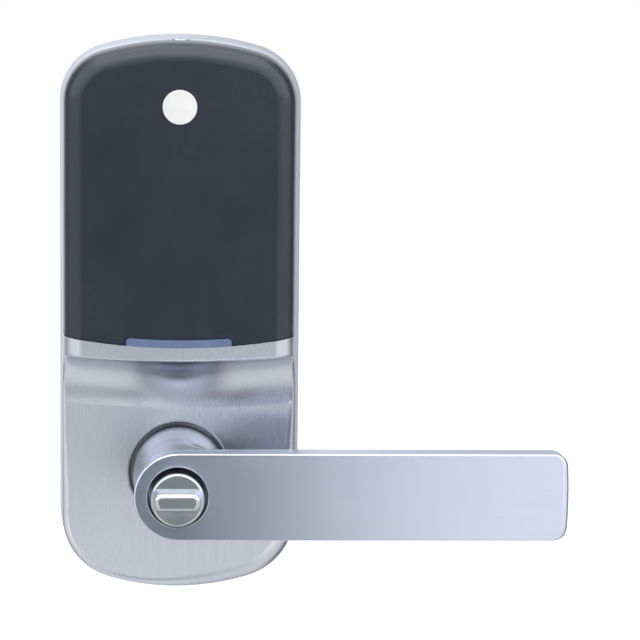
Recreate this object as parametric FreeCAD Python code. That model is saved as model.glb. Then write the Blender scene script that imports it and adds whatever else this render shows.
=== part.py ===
import FreeCAD, Part
import math
import os

# Indoor unit of an electronic lever lock: a cast escutcheon with a battery cover, an electronics
# compartment and a sprung lever that carries a privacy turn button.
#
# Lengths are millimetres. The origin is on the lever's axis at the door's face. +X runs along the
# lever, +Z is up, and the room is on the -Y side. A "depth" is a distance from the door's face into
# the room, so it is -Y, and a negative depth lies inside the door.

# ---- driving dimensions: escutcheon and cover ------------------------------------------------------------
BODY_WIDTH = 74.7
BODY_TOP = 133.7             # above the lever's axis
BODY_BOTTOM = -38.0
TOP_ARC_RADIUS = 88.0
TOP_CORNER_RADIUS = 18.0
BOTTOM_ARC_RADIUS = 76.0
BOTTOM_CORNER_RADIUS = 21.5
SIDE_DRAFT = 5.5             # degrees that the sides lean in towards the room
BODY_WALL = 2.2
PLATE_DEPTH = 20.0           # flat lower front, where the lever comes out
RIM_DEPTH = 24.0             # where the cover's skirt meets the metal rim
COVER_DEPTH = 36.0           # front of the cover and of the metal strip under it
COVER_WALL = 2.0
COVER_EDGE = 5.5             # rounding of the cover's front edge
SIDE_ROUND = 2.0             # rounding of the lower front, at its sides
BOTTOM_ROUND = 5.0           # and along its bottom
CREASE_ROUND = 0.8
CREASE_Z = 35.7              # lower edge of the metal strip, at its middle
CREASE_ARC = 328.0
COVER_FOOT_Z = 39.95         # lower edge of the cover, at its middle
FOOT_ARC = 185.0
LEDGE_WALL = 2.0
FLOOR_DEPTH = 16.0           # front face of the compartment's floor
FLOOR_WALL = 2.0
MARGIN = 12.0                # how far cutting tools run past what they cut

# ---- door side -------------------------------------------------------------------------------------------
GASKET_THICKNESS = 1.0
GASKET_INSET = 0.8
GASKET_BAND = 3.2
MOUNT_PLATE = 1.5
MOUNT_PLATE_INSET = 4.6
SPINDLE_HOLE_RADIUS = 12.0
DOOR_BOLT_SPACING = 44.0
DOOR_BOLT_HOLE = 2.75
CABLE_HOLE = (18.0, 12.0)    # width and height
CABLE_HOLE_Z = 26.5          # its lower edge

# ---- lever and its return --------------------------------------------------------------------------------
LEVER_HEIGHT = 25.4
LEVER_TIP_X = 113.75
LEVER_TIP_BULGE = 0.55
LEVER_TIP_CORNER = 4.0
LEVER_FRONT = 64.0
LEVER_THICKNESS = 9.0
LEVER_EDGE = 0.45
LEVER_TIP_EDGE = 1.8         # rounding of the front edge at the tip
BORE_EDGE = 0.35
NECK_RADIUS = 14.5
NECK_TOP_RADIUS = LEVER_HEIGHT / 2 - LEVER_EDGE
SWOOP_RADIUS = 16.0          # hollow that blends the neck into the arm
HUB_HOLE_RADIUS = 15.0
HUB_EDGE = 0.9
JOURNAL_RADIUS = 11.5
RUNNING_FIT = 0.06           # radial clearance of turning fits
CLEAR = 0.3                  # clearance between pieces that only pass each other
BUSH_RECESS = 1.5
BUSH_FLANGE = 2.0
BUSH_FLANGE_RADIUS = 17.0
SPINDLE_SIZE = 10.0
SPINDLE_BORE = 3.1
SPINDLE_REACH = 22.0         # into the door
SPINDLE_TOP = 38.0
SLIP_FIT = 0.05
LEVER_TURN = 50.0            # degrees each way
CAGE_BACK = 3.0
CAGE_WALL = 1.5
CAGE_RADIUS = 17.0
CAGE_BORE = 15.2
CAGE_SCREW_CIRCLE = 20.5
SPRING_RADIUS = 10.5
SPRING_WIRE = 1.3
SPRING_PITCH = 1.5
CAM_THICKNESS = 2.8
SET_SCREW_RADIUS = 2.0
SET_SCREW_DEPTH = 30.0

# ---- turn button -----------------------------------------------------------------------------------------
BUTTON_BORE = 8.75
BUTTON_BORE_FLOOR = 50.5
BUTTON_RADIUS = 7.7
BUTTON_FACE = 69.0
BUTTON_LENGTH = 12.5
RIB_HEIGHT = 4.0
RIB_FRONT = (13.0, 4.5)      # length and height of the rib's front
RIB_BASE = (14.8, 6.8)       # and where it meets the button's face
RIB_CORNER = 2.1
RIB_EDGE = 1.5
BUTTON_EDGE = 0.7
TURN_SHAFT_RADIUS = 2.6
TURN_BEARING_BACK = 41.0
TAIL_REACH = 42.0            # into the door
TAIL_SECTION = (4.6, 2.2)

# ---- battery compartment ---------------------------------------------------------------------------------
CELL_COUNT = 4
CELL_RADIUS = 7.1
CELL_LENGTH = 50.5
CELL_NUB_RADIUS = 2.7
CELL_NUB = 1.3
CELL_PITCH = 15.0
CONTACT_SPRING_LENGTH = 4.5
CONTACT_PLATE = 0.5
TRAY_WALL = 1.3
TRAY_FLOOR = 1.5
TRAY_SIDE_DEPTH = 28.0
TRAY_FOOT = 16.0             # above the cover's foot

# ---- electronics -----------------------------------------------------------------------------------------
BOARD_THICKNESS = 1.6
BOARD_FRONT = 8.6
BOARD_HALF_WIDTH = 31.0
BOARD_FOOT = -5.9            # from the cover's foot
BOARD_TOP = 76.0             # above the cover's foot
BOARD_SCREW_X = 27.0
BOARD_SCREW_Z = (22.0, 68.0)
BODY_SCREW_X = 27.0
BODY_SCREW_Z = 9.0           # above the cover's foot
WINDOW = (40.0, 11.5)        # service window in the floor: width and height
WINDOW_FOOT = 3.6            # above the cover's foot
LIGHT_WIDTH = 31.5
LIGHT_HEIGHT = 2.4
LIGHT_CORNER = 1.2
LIGHT_GAP = 0.2
PRESS_TRAVEL = 0.3           # of the reset button

# ---- fixings ---------------------------------------------------------------------------------------------
COVER_SCREW_DEPTH = 21.0
COVER_SCREW_HEAD = 2.6
COVER_SCREW_SHANK = 1.5
COVER_SCREW_POCKET = 0.9
COVER_GAP = 0.25
LIP_REACH = 2.5
LIP_WALL = 0.9
BADGE_Z = 111.6
BADGE_RADIUS = 5.1

ALONG_DEPTH = FreeCAD.Vector(0, 1, 0)
UP = FreeCAD.Vector(0, 0, 1)
SLOPE = math.tan(math.radians(SIDE_DRAFT))
ARM_BACK = LEVER_FRONT - LEVER_THICKNESS
BOARD_BACK = BOARD_FRONT - BOARD_THICKNESS
FLOOR_BACK = FLOOR_DEPTH - FLOOR_WALL


# ---- helpers ---------------------------------------------------------------------------------------------
def at(x, depth, z):
    return FreeCAD.Vector(x, -depth, z)


def rod(x, z, radius, low, high):
    """Round bar along Y between two depths."""
    return Part.makeCylinder(radius, high - low, at(x, high, z), ALONG_DEPTH)


def taper(x, z, low_radius, high_radius, low, high):
    return Part.makeCone(high_radius, low_radius, high - low, at(x, high, z), ALONG_DEPTH)


def ring(x, z, outer, inner, low, high):
    return rod(x, z, outer, low, high).cut(rod(x, z, inner, low - 1, high + 1))


def post(x, depth, radius, low_z, high_z):
    """Round bar along Z."""
    return Part.makeCylinder(radius, high_z - low_z, at(x, depth, low_z), UP)


def block(x_span, depth_span, z_span):
    (x0, x1), (low, high), (z0, z1) = x_span, depth_span, z_span
    return Part.makeBox(x1 - x0, high - low, z1 - z0, at(x0, high, z0))


def soft_block(x_span, depth_span, z_span, corner):
    """Block whose four edges along Y are rounded."""
    solid = block(x_span, depth_span, z_span)
    upright = [e for e in solid.Edges if abs(e.tangentAt(e.FirstParameter).y) > 0.99]
    return solid.makeFillet(corner, upright)


def joined(first, *others):
    return first.fuse(list(others)).removeSplitter()


def around(x, z, width, height):
    """X and Z spans of a box by its middle and its size."""
    return (x - width / 2, x + width / 2), (z - height / 2, z + height / 2)


def coil(radius, wire, pitch, height):
    """Open coil of round wire about +Z, from the origin's level up."""
    path = Part.makeHelix(pitch, height, radius)
    section = Part.Wire(Part.makeCircle(wire / 2, FreeCAD.Vector(radius, 0, 0), ALONG_DEPTH))
    return Part.Wire(path.Edges).makePipeShell([section], True, True)


def lead(points, diameter):
    """Wire along straight runs that tangent arcs join, each as large as its two runs allow."""
    edges, start = [], points[0]
    for before, corner, after in zip(points, points[1:], points[2:]):
        back, onward = before - corner, after - corner
        short = min(back.Length, onward.Length)
        setback = 0.45 * short
        first = corner + back.normalize() * setback
        last = corner + onward.normalize() * setback
        half_angle = (first - corner).getAngle(last - corner) / 2
        reach = setback / math.cos(half_angle)
        radius = setback * math.tan(half_angle)
        inward = ((first + last) * 0.5 - corner).normalize()
        middle = corner + inward * (reach - radius)
        edges += [Part.makeLine(start, first), Part.Arc(first, middle, last).toShape()]
        print("lead bend radius", round(radius, 2))
        start = last
    edges.append(Part.makeLine(start, points[-1]))
    path = Part.Wire(edges)
    heading = points[1] - points[0]
    section = Part.Wire(Part.makeCircle(diameter / 2, points[0], heading))
    tube = path.makePipeShell([section], True, True)
    expected = math.pi * diameter ** 2 / 4 * path.Length
    print("lead volume over expected", round(tube.Volume / expected, 4))
    return tube


def pan_screw(x, z, head_low, head_radius, head_height, shank_radius, length, towards_room):
    """Screw along Y whose head starts at a depth; the shank runs away from the head."""
    if towards_room:
        head = rod(x, z, head_radius, head_low - head_height, head_low)
        shank = rod(x, z, shank_radius, head_low, head_low + length)
        slot_low = head_low - head_height - 1
        slot = (slot_low, head_low - 0.5 * head_height)
    else:
        head = rod(x, z, head_radius, head_low, head_low + head_height)
        shank = rod(x, z, shank_radius, head_low - length, head_low)
        slot = (head_low + 0.5 * head_height, head_low + head_height + 1)
    reach = 0.62 * head_radius
    thin = 0.16 * head_radius
    screw = head.fuse(shank)
    screw = screw.cut(block((x - reach, x + reach), slot, (z - thin, z + thin)))
    return screw.cut(block((x - thin, x + thin), slot, (z - reach, z + reach)))


# ---- outline of the escutcheon ---------------------------------------------------------------------------
def outline_end(tip, arc_radius, corner_radius, way, pull):
    """Points where one end's wide arc, its corner and the straight side meet."""
    corner_x = BODY_WIDTH / 2 - corner_radius
    rise = math.sqrt((arc_radius - corner_radius) ** 2 - corner_x ** 2)
    corner_z = tip - way * arc_radius + way * rise
    angle = math.atan2(rise, corner_x)
    radius = corner_radius - pull
    middle = (corner_x + radius * math.cos(angle / 2), corner_z + way * radius * math.sin(angle / 2))
    blend = (corner_x + radius * math.cos(angle), corner_z + way * radius * math.sin(angle))
    return corner_z, middle, blend, tip - way * pull


def outline(depth, inset=0.0):
    """The escutcheon's outline at a depth, pulled in by its draft and by an inset."""
    pull = depth * SLOPE + inset
    half = BODY_WIDTH / 2 - pull
    top_z, top_mid, top_blend, top = outline_end(BODY_TOP, TOP_ARC_RADIUS, TOP_CORNER_RADIUS, 1, pull)
    low_z, low_mid, low_blend, low = outline_end(
        BODY_BOTTOM, BOTTOM_ARC_RADIUS, BOTTOM_CORNER_RADIUS, -1, pull)

    def line(a, b):
        return Part.makeLine(at(a[0], depth, a[1]), at(b[0], depth, b[1]))

    def arc(a, b, c):
        return Part.Arc(*(at(p[0], depth, p[1]) for p in (a, b, c))).toShape()

    def mirrored(p):
        return (-p[0], p[1])

    return Part.Wire([
        line((half, low_z), (half, top_z)),
        arc((half, top_z), top_mid, top_blend),
        arc(top_blend, (0, top), mirrored(top_blend)),
        arc(mirrored(top_blend), mirrored(top_mid), (-half, top_z)),
        line((-half, top_z), (-half, low_z)),
        arc((-half, low_z), mirrored(low_mid), mirrored(low_blend)),
        arc(mirrored(low_blend), (0, low), low_blend),
        arc(low_blend, low_mid, (half, low_z)),
    ])


def form(low, high, inset=0.0):
    """Solid between two depths whose sides follow the drafted outline."""
    return Part.makeLoft([outline(low, inset), outline(high, inset)], True, True)


def front_edges(solid, depth):
    return [e for e in solid.Edges if all(abs(v.Point.y + depth) < 1e-6 for v in e.Vertexes)]


def scoop(grow=0.0):
    """What the lower front leaves out: a hollow under the strip and all in front of the plate."""
    hollow = COVER_DEPTH - PLATE_DEPTH
    low = CREASE_Z - hollow
    bottom = BODY_BOTTOM - MARGIN
    front = COVER_DEPTH + MARGIN
    eighth = (hollow + grow) * math.sin(math.radians(45))
    roof = at(0, front, CREASE_Z + grow)
    crease = at(0, COVER_DEPTH, CREASE_Z + grow)
    middle = at(0, COVER_DEPTH - eighth, low + eighth)
    foot = at(0, PLATE_DEPTH - grow, low)
    corner = at(0, PLATE_DEPTH - grow, bottom)
    far = at(0, front, bottom)
    face = Part.Face(Part.Wire([
        Part.makeLine(roof, crease), Part.Arc(crease, middle, foot).toShape(),
        Part.makeLine(foot, corner), Part.makeLine(corner, far), Part.makeLine(far, roof)]))
    centre = at(0, 0, CREASE_Z + CREASE_ARC)
    swing = 25.0
    face.rotate(centre, ALONG_DEPTH, -swing)
    return face.revolve(centre, ALONG_DEPTH, 2 * swing)


def foot_disc(low, high, pull=0.0):
    """Everything above the arc that the cover's foot follows, raised by a pull."""
    return rod(0, COVER_FOOT_Z + FOOT_ARC, FOOT_ARC - pull, low, high)


def lower_round(point):
    """Rounding of the lower front's edge at one of its corners."""
    side_low = outline_end(BODY_BOTTOM, BOTTOM_ARC_RADIUS, BOTTOM_CORNER_RADIUS, -1, 0)[0]
    if -point.y > PLATE_DEPTH + 0.1:
        return CREASE_ROUND
    return BOTTOM_ROUND if point.z < side_low - 0.1 else SIDE_ROUND


def rounded(solid, chosen):
    """Fillet some edges by number, each with one radius at its start and one at its end."""
    sheet = FreeCAD.newDocument("rounding")
    base = sheet.addObject("Part::Feature", "base")
    base.Shape = solid
    fillet = sheet.addObject("Part::Fillet", "fillet")
    fillet.Base = base
    fillet.Edges = chosen
    sheet.recompute()
    result = fillet.Shape.Solids[0].copy()
    FreeCAD.closeDocument(sheet.Name)
    return result


def round_lower_front(solid):
    """Round the lower front's whole edge, with a radius that changes along it."""
    chosen = []
    for number, edge in enumerate(solid.Edges, 1):
        ends = [v.Point for v in edge.Vertexes]
        if any(-p.y < PLATE_DEPTH - 1e-4 or p.z > COVER_FOOT_Z for p in ends):
            continue
        blend_line = all(abs(-p.y - PLATE_DEPTH) < 1e-4 and p.z > 0 for p in ends)
        if blend_line and abs(ends[0].x - ends[1].x) > 1:
            continue
        chosen.append((number, lower_round(ends[0]), lower_round(ends[1])))
    return rounded(solid, chosen)


def outer_form():
    """Body and cover together, as one closed form."""
    solid = form(GASKET_THICKNESS, COVER_DEPTH)
    solid = solid.makeFillet(COVER_EDGE, front_edges(solid, COVER_DEPTH))
    return round_lower_front(solid.cut(scoop()))


OUTER = outer_form()


# ---- door side -------------------------------------------------------------------------------------------
def door_gasket():
    outside = form(0, GASKET_THICKNESS, GASKET_INSET)
    return outside.cut(form(-1, GASKET_THICKNESS + 1, GASKET_INSET + GASKET_BAND))


def bottom_tab_z():
    return BODY_BOTTOM + MOUNT_PLATE_INSET


def body_screw_places():
    return [(side * BODY_SCREW_X, COVER_FOOT_Z + BODY_SCREW_Z) for side in (-1, 1)]


BODY_SCREW_RADIUS = 2.0
BODY_SCREW_HEAD = 3.8
STANDOFF_RADIUS = 4.0
BOTTOM_SCREW_DEPTH = 5.4
BOTTOM_SCREW_RADIUS = 1.5
BOTTOM_SCREW_HEAD = 2.6
BOTTOM_POCKET = 1.1


PLATE_OPENING = (30.0, 18.0)         # two lightening openings in the mounting plate
PLATE_OPENING_FEET = (18.0, 50.0)    # above the cover's foot
BOTTOM_TAB_WIDTH = 10.0


def mounting_plate():
    plate = form(0, MOUNT_PLATE, MOUNT_PLATE_INSET)
    plate = plate.cut(rod(0, 0, SPINDLE_HOLE_RADIUS, -1, MARGIN))
    for side in (-1, 1):
        plate = plate.cut(rod(side * DOOR_BOLT_SPACING / 2, 0, DOOR_BOLT_HOLE, -1, MARGIN))
    width, height = CABLE_HOLE
    spans = around(0, CABLE_HOLE_Z + height / 2, width, height)
    plate = plate.cut(soft_block(spans[0], (-1, MARGIN), spans[1], 2.0))
    for foot in PLATE_OPENING_FEET:
        spans = around(0, COVER_FOOT_Z + foot + PLATE_OPENING[1] / 2, *PLATE_OPENING)
        plate = plate.cut(soft_block(spans[0], (-1, MARGIN), spans[1], 4.0))
    for x, z in body_screw_places():
        plate = plate.fuse(rod(x, z, STANDOFF_RADIUS, MOUNT_PLATE, FLOOR_BACK))
        plate = plate.cut(rod(x, z, BODY_SCREW_RADIUS + SLIP_FIT, -1, FLOOR_BACK + 1))
    half = BOTTOM_TAB_WIDTH / 2
    tab = block((-half, half), (0, BOTTOM_SCREW_DEPTH + 4), (bottom_tab_z(), bottom_tab_z() + MOUNT_PLATE))
    plate = plate.fuse(tab)
    hole = post(0, BOTTOM_SCREW_DEPTH, BOTTOM_SCREW_RADIUS + SLIP_FIT, BODY_BOTTOM, BODY_BOTTOM + MARGIN)
    return plate.cut(hole).removeSplitter()


# ---- escutcheon body -------------------------------------------------------------------------------------
PILOT = 1.15
BOSS_RADIUS = 3.0
CAGE_EAR_DEPTH = 13.2        # where the cage's ears seat on the body's bosses
TRAY_SCREW_Z = (32.0, 62.0)


def cage_screw_places():
    angles = [math.radians(a) for a in (90, 210, 330)]
    return [(CAGE_SCREW_CIRCLE * math.cos(a), CAGE_SCREW_CIRCLE * math.sin(a)) for a in angles]


def board_screw_places():
    return [(side * BOARD_SCREW_X, COVER_FOOT_Z + z) for side in (-1, 1) for z in BOARD_SCREW_Z]


def tray_screw_places():
    return [(0, COVER_FOOT_Z + z) for z in TRAY_SCREW_Z]


def roof_z(depth):
    """Outer top of the escutcheon at a depth."""
    return BODY_TOP - depth * SLOPE


def screw_pocket_z():
    return roof_z(COVER_SCREW_DEPTH) - COVER_SCREW_POCKET


def open_slot(radius, low_z, high_z):
    """Slot for the cover's screw, open towards the room."""
    rounded = post(0, COVER_SCREW_DEPTH, radius, low_z, high_z)
    return rounded.fuse(block((-radius, radius), (COVER_SCREW_DEPTH, RIM_DEPTH + 1), (low_z, high_z)))


def escutcheon_body():
    cavity = form(0, COVER_DEPTH - BODY_WALL, BODY_WALL).cut(scoop(BODY_WALL))
    floor = foot_disc(FLOOR_BACK, FLOOR_DEPTH, -LEDGE_WALL)
    ledge = foot_disc(FLOOR_DEPTH, COVER_DEPTH, -LEDGE_WALL).cut(foot_disc(FLOOR_DEPTH, COVER_DEPTH))
    body = OUTER.cut(cavity.cut(floor.fuse(ledge)))
    body = body.cut(foot_disc(RIM_DEPTH, COVER_DEPTH + MARGIN))

    bosses = [rod(x, z, BOSS_RADIUS, BOARD_FRONT, FLOOR_BACK + 0.5) for x, z in board_screw_places()]
    bosses += [rod(x, z, BOSS_RADIUS, FLOOR_BACK - 3, FLOOR_BACK + 0.5) for x, z in tray_screw_places()]
    plate_back = PLATE_DEPTH - BODY_WALL
    bosses += [rod(x, z, BOSS_RADIUS, CAGE_EAR_DEPTH, plate_back + 0.5) for x, z in cage_screw_places()]
    body = body.fuse(bosses)
    for x, z in board_screw_places():
        body = body.cut(rod(x, z, PILOT, 0, FLOOR_BACK - 0.5))
    for x, z in tray_screw_places():
        body = body.cut(rod(x, z, PILOT, FLOOR_BACK - 2.5, FLOOR_DEPTH + 1))
    for x, z in cage_screw_places():
        body = body.cut(rod(x, z, PILOT + 0.1, 0, plate_back))
    for x, z in body_screw_places():
        body = body.cut(rod(x, z, BODY_SCREW_RADIUS + CLEAR, 0, FLOOR_DEPTH + 1))

    window_z = COVER_FOOT_Z + WINDOW_FOOT
    half = WINDOW[0] / 2
    body = body.cut(soft_block((-half, half), (0, FLOOR_DEPTH + 1), (window_z, window_z + WINDOW[1]), 2))
    stem = light_stem_spans(CLEAR)
    body = body.cut(block(stem[0], (FLOOR_BACK - 1, FLOOR_DEPTH + 1), stem[1]))

    body = body.cut(rod(0, 0, HUB_HOLE_RADIUS, 0, PLATE_DEPTH + 1))
    rim = [e for e in body.Edges if e.Closed and abs(e.Length - 2 * math.pi * HUB_HOLE_RADIUS) < 0.01
           and abs(e.CenterOfMass.y + PLATE_DEPTH) < 0.01]
    body = body.makeFillet(HUB_EDGE, rim)

    body = body.cut(open_slot(COVER_SCREW_HEAD + SLIP_FIT, screw_pocket_z(), BODY_TOP + 1))
    body = body.cut(open_slot(COVER_SCREW_SHANK + CLEAR, BODY_TOP - MARGIN, BODY_TOP + 1))
    outside = BODY_BOTTOM + BOTTOM_SCREW_DEPTH * SLOPE
    body = body.cut(post(0, BOTTOM_SCREW_DEPTH, BOTTOM_SCREW_RADIUS + CLEAR, BODY_BOTTOM - 1, BODY_BOTTOM + 5))
    pocket = post(0, BOTTOM_SCREW_DEPTH, BOTTOM_SCREW_HEAD + CLEAR, BODY_BOTTOM - 1, outside + BOTTOM_POCKET)
    return body.cut(pocket).removeSplitter()


def body_screws():
    """Two screws through the compartment's floor and one up through the bottom wall."""
    solids = [pan_screw(x, z, FLOOR_DEPTH, BODY_SCREW_HEAD, 2.4, BODY_SCREW_RADIUS, 10, False)
              for x, z in body_screw_places()]
    seat = BODY_BOTTOM + BOTTOM_SCREW_DEPTH * SLOPE + BOTTOM_POCKET
    head = post(0, BOTTOM_SCREW_DEPTH, BOTTOM_SCREW_HEAD, seat - 1.0, seat)
    head = head.cut(block((-1.6, 1.6), (BOTTOM_SCREW_DEPTH - 0.4, BOTTOM_SCREW_DEPTH + 0.4),
                          (seat - 2, seat - 0.5)))
    shank = post(0, BOTTOM_SCREW_DEPTH, BOTTOM_SCREW_RADIUS, seat, seat + 7)
    return Part.makeCompound(solids + [head.fuse(shank)])


# ---- lever and its return --------------------------------------------------------------------------------
BUSH_BACK = PLATE_DEPTH - BODY_WALL - BUSH_FLANGE
BUSH_FRONT = PLATE_DEPTH - BUSH_RECESS
NECK_START = BUSH_FRONT + CLEAR
JOURNAL_END = 13.0
CAM_BACK = 5.2
CAM_TAB = (11.9, 13.2)       # radii between which the cam's tab stands
STOP_HALF_ANGLE = 12.0
SPRING_LEG_X = 2.1


def lever_bushing():
    bush = rod(0, 0, BUSH_FLANGE_RADIUS, BUSH_BACK, BUSH_BACK + BUSH_FLANGE)
    bush = bush.fuse(rod(0, 0, HUB_HOLE_RADIUS - SLIP_FIT, BUSH_BACK, BUSH_FRONT))
    return bush.cut(rod(0, 0, JOURNAL_RADIUS + RUNNING_FIT, 0, MARGIN * 2)).removeSplitter()


def sector(inner, outer, low, high, start, sweep):
    """Part of a ring about the lever's axis, by angles counted from +X towards +Z."""
    face = Part.Face(Part.makePolygon([
        at(inner, low, 0), at(outer, low, 0), at(outer, high, 0), at(inner, high, 0), at(inner, low, 0)]))
    face.rotate(at(0, 0, 0), ALONG_DEPTH, -start)
    return face.revolve(at(0, 0, 0), ALONG_DEPTH, -sweep)


def spring_cage():
    """Cup round the return spring, with the spring's anchor, two stops and three ears."""
    cage = rod(0, 0, CAGE_RADIUS, CAGE_BACK, BUSH_BACK)
    inside = CAGE_BACK + CAGE_WALL
    cage = cage.cut(rod(0, 0, CAGE_BORE, inside, BUSH_BACK + 1))
    cage = cage.cut(rod(0, 0, SPINDLE_SIZE * 0.5 * math.sqrt(2) + 1, 0, inside + 1))
    anchor_low = CAM_BACK + CAM_THICKNESS + CLEAR
    anchor = block((-1.1, 1.1), (anchor_low, JOURNAL_END), (CAM_TAB[1] + 0.4, CAGE_RADIUS - 0.5))
    cage = cage.fuse(anchor)
    stop_start = STOP_HALF_ANGLE + LEVER_TURN + 1.5
    for side in (-1, 1):
        start = 270 + side * stop_start
        cage = cage.fuse(sector(12.5, CAGE_RADIUS - 0.5, inside - 0.5, CAM_BACK + CAM_THICKNESS,
                                start, side * 14))
    for x, z in cage_screw_places():
        ear = rod(x, z, BOSS_RADIUS, CAGE_EAR_DEPTH - 1.7, CAGE_EAR_DEPTH)
        bridge = block((CAGE_RADIUS - 1, CAGE_SCREW_CIRCLE), (CAGE_EAR_DEPTH - 1.7, CAGE_EAR_DEPTH),
                       (-BOSS_RADIUS, BOSS_RADIUS))
        bridge.rotate(at(0, 0, 0), ALONG_DEPTH, -math.degrees(math.atan2(z, x)))
        cage = cage.fuse([ear, bridge])
    for x, z in cage_screw_places():
        cage = cage.cut(rod(x, z, PILOT + CLEAR, 0, CAGE_EAR_DEPTH + 1))
    return cage.removeSplitter()


def cage_screws():
    seat = CAGE_EAR_DEPTH - 1.7
    return Part.makeCompound([
        pan_screw(x, z, seat, 2.4, 1.5, PILOT, 5.4, True) for x, z in cage_screw_places()])


def square_bar(size, low, high):
    half = size / 2
    return block((-half, half), (low, high), (-half, half))


def spring_cam():
    """Plate on the spindle that winds the spring, with a tab between its legs and a stop lobe."""
    high = CAM_BACK + CAM_THICKNESS
    cam = rod(0, 0, 9.0, CAM_BACK, high)
    arm = block((-1.1, 1.1), (CAM_BACK, high), (8, CAM_TAB[1]))
    tab = block((-1.1, 1.1), (CAM_BACK, JOURNAL_END - CLEAR), CAM_TAB)
    lobe = sector(8, CAGE_BORE - 0.6, CAM_BACK, high, 270 - STOP_HALF_ANGLE, 2 * STOP_HALF_ANGLE)
    cam = joined(cam, arm, tab, lobe)
    return cam.cut(square_bar(SPINDLE_SIZE + 2 * SLIP_FIT, 0, MARGIN))


def return_spring():
    """Two-turn torsion spring whose legs stand either side of the cam's tab."""
    start_z = math.sqrt(SPRING_RADIUS ** 2 - SPRING_LEG_X ** 2)
    start_angle = math.degrees(math.atan2(start_z, SPRING_LEG_X))
    sweep = 720 - 2 * (90 - start_angle)
    rise = SPRING_PITCH * sweep / 360
    low = CAM_BACK + CAM_THICKNESS + 0.6 + SPRING_WIRE / 2
    turns = coil(SPRING_RADIUS, SPRING_WIRE, SPRING_PITCH, rise)
    # The coil is made about +Z from +X; it is turned to run along -Y from its first leg.
    turns.rotate(at(0, 0, 0), FreeCAD.Vector(1, 0, 0), 90)
    turns.rotate(at(0, 0, 0), ALONG_DEPTH, -(90 + (90 - start_angle)))
    turns.translate(at(0, low, 0))
    leg_radius = SPRING_WIRE / 2 - 0.03
    legs = [post(x, depth, leg_radius, start_z - 0.2, start_z + 3.4)
            for x, depth in ((-SPRING_LEG_X, low), (SPRING_LEG_X, low + rise))]
    return turns.fuse(legs)


def arm_outline():
    half = LEVER_HEIGHT / 2
    edge_x = LEVER_TIP_X - LEVER_TIP_BULGE

    def point(x, z):
        return at(x, ARM_BACK, z)

    return Part.Wire([
        Part.Arc(point(0, -half), point(-half, 0), point(0, half)).toShape(),
        Part.makeLine(point(0, half), point(edge_x, half)),
        Part.Arc(point(edge_x, half), point(LEVER_TIP_X, 0), point(edge_x, -half)).toShape(),
        Part.makeLine(point(edge_x, -half), point(0, -half)),
    ])


def neck_radius(depth):
    share = (depth - NECK_START) / (ARM_BACK - NECK_START)
    return NECK_RADIUS + (NECK_TOP_RADIUS - NECK_RADIUS) * share


def neck_section(depth):
    """Slot-shaped section that lengthens along +X as the neck turns into the arm."""
    drop = max(depth - (ARM_BACK - SWOOP_RADIUS), 0.5)
    reach = SWOOP_RADIUS - math.sqrt(max(SWOOP_RADIUS ** 2 - drop ** 2, 0))
    radius = neck_radius(depth)

    def point(x, z):
        return at(x, depth, z)

    return Part.Wire([
        Part.Arc(point(0, -radius), point(-radius, 0), point(0, radius)).toShape(),
        Part.makeLine(point(0, radius), point(reach, radius)),
        Part.Arc(point(reach, radius), point(reach + radius, 0), point(reach, -radius)).toShape(),
        Part.makeLine(point(reach, -radius), point(0, -radius)),
    ])


def rim_radius(point):
    """Rounding of the arm's rims: wider at the tip's front edge than anywhere else."""
    at_tip = point.x > LEVER_TIP_X - LEVER_TIP_BULGE - LEVER_TIP_CORNER / 2
    return LEVER_TIP_EDGE if at_tip and -point.y > ARM_BACK + 1 else LEVER_EDGE


def lever_arm():
    arm = Part.Face(arm_outline()).extrude(at(0, LEVER_THICKNESS, 0))
    tip = [e for e in arm.Edges if abs(e.tangentAt(e.FirstParameter).y) > 0.99 and e.CenterOfMass.x > 1]
    arm = arm.makeFillet(LEVER_TIP_CORNER, tip)
    chosen = []
    for number, edge in enumerate(arm.Edges, 1):
        if abs(edge.tangentAt(edge.FirstParameter).y) < 0.01:
            start, end = (rim_radius(v.Point) for v in edge.Vertexes)
            chosen.append((number, start, end))
    return rounded(arm, chosen)


def lever_handle():
    swoop_start = ARM_BACK - SWOOP_RADIUS
    neck = taper(0, 0, NECK_RADIUS, neck_radius(swoop_start + 1), NECK_START, swoop_start + 1)
    steps = 8
    depths = [swoop_start + SWOOP_RADIUS * math.sin(math.radians(90 * (n + 0.4) / (steps + 0.4)))
              for n in range(steps + 1)]
    depths[-1] = ARM_BACK
    swoop = Part.makeLoft([neck_section(d) for d in depths], True, False)
    core = rod(0, 0, NECK_TOP_RADIUS - 0.5, swoop_start, ARM_BACK + 2)
    journal = rod(0, 0, JOURNAL_RADIUS, JOURNAL_END, NECK_START + 1)
    lever = lever_arm().fuse([neck, swoop, core, journal])
    lever = lever.cut(rod(0, 0, BUTTON_BORE, BUTTON_BORE_FLOOR, LEVER_FRONT + 1))
    mouth = [e for e in lever.Edges if e.Closed and abs(e.Length - 2 * math.pi * BUTTON_BORE) < 0.01
             and abs(e.CenterOfMass.y + LEVER_FRONT) < 0.01]
    lever = lever.makeFillet(BORE_EDGE, mouth)
    lever = lever.cut(rod(0, 0, TURN_SHAFT_RADIUS + RUNNING_FIT, 0, LEVER_FRONT))
    lever = lever.cut(square_bar(SPINDLE_SIZE + 2 * SLIP_FIT, 0, TURN_BEARING_BACK))
    return lever.cut(post(0, SET_SCREW_DEPTH, SET_SCREW_RADIUS + SLIP_FIT, -20, 0)).removeSplitter()


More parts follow.
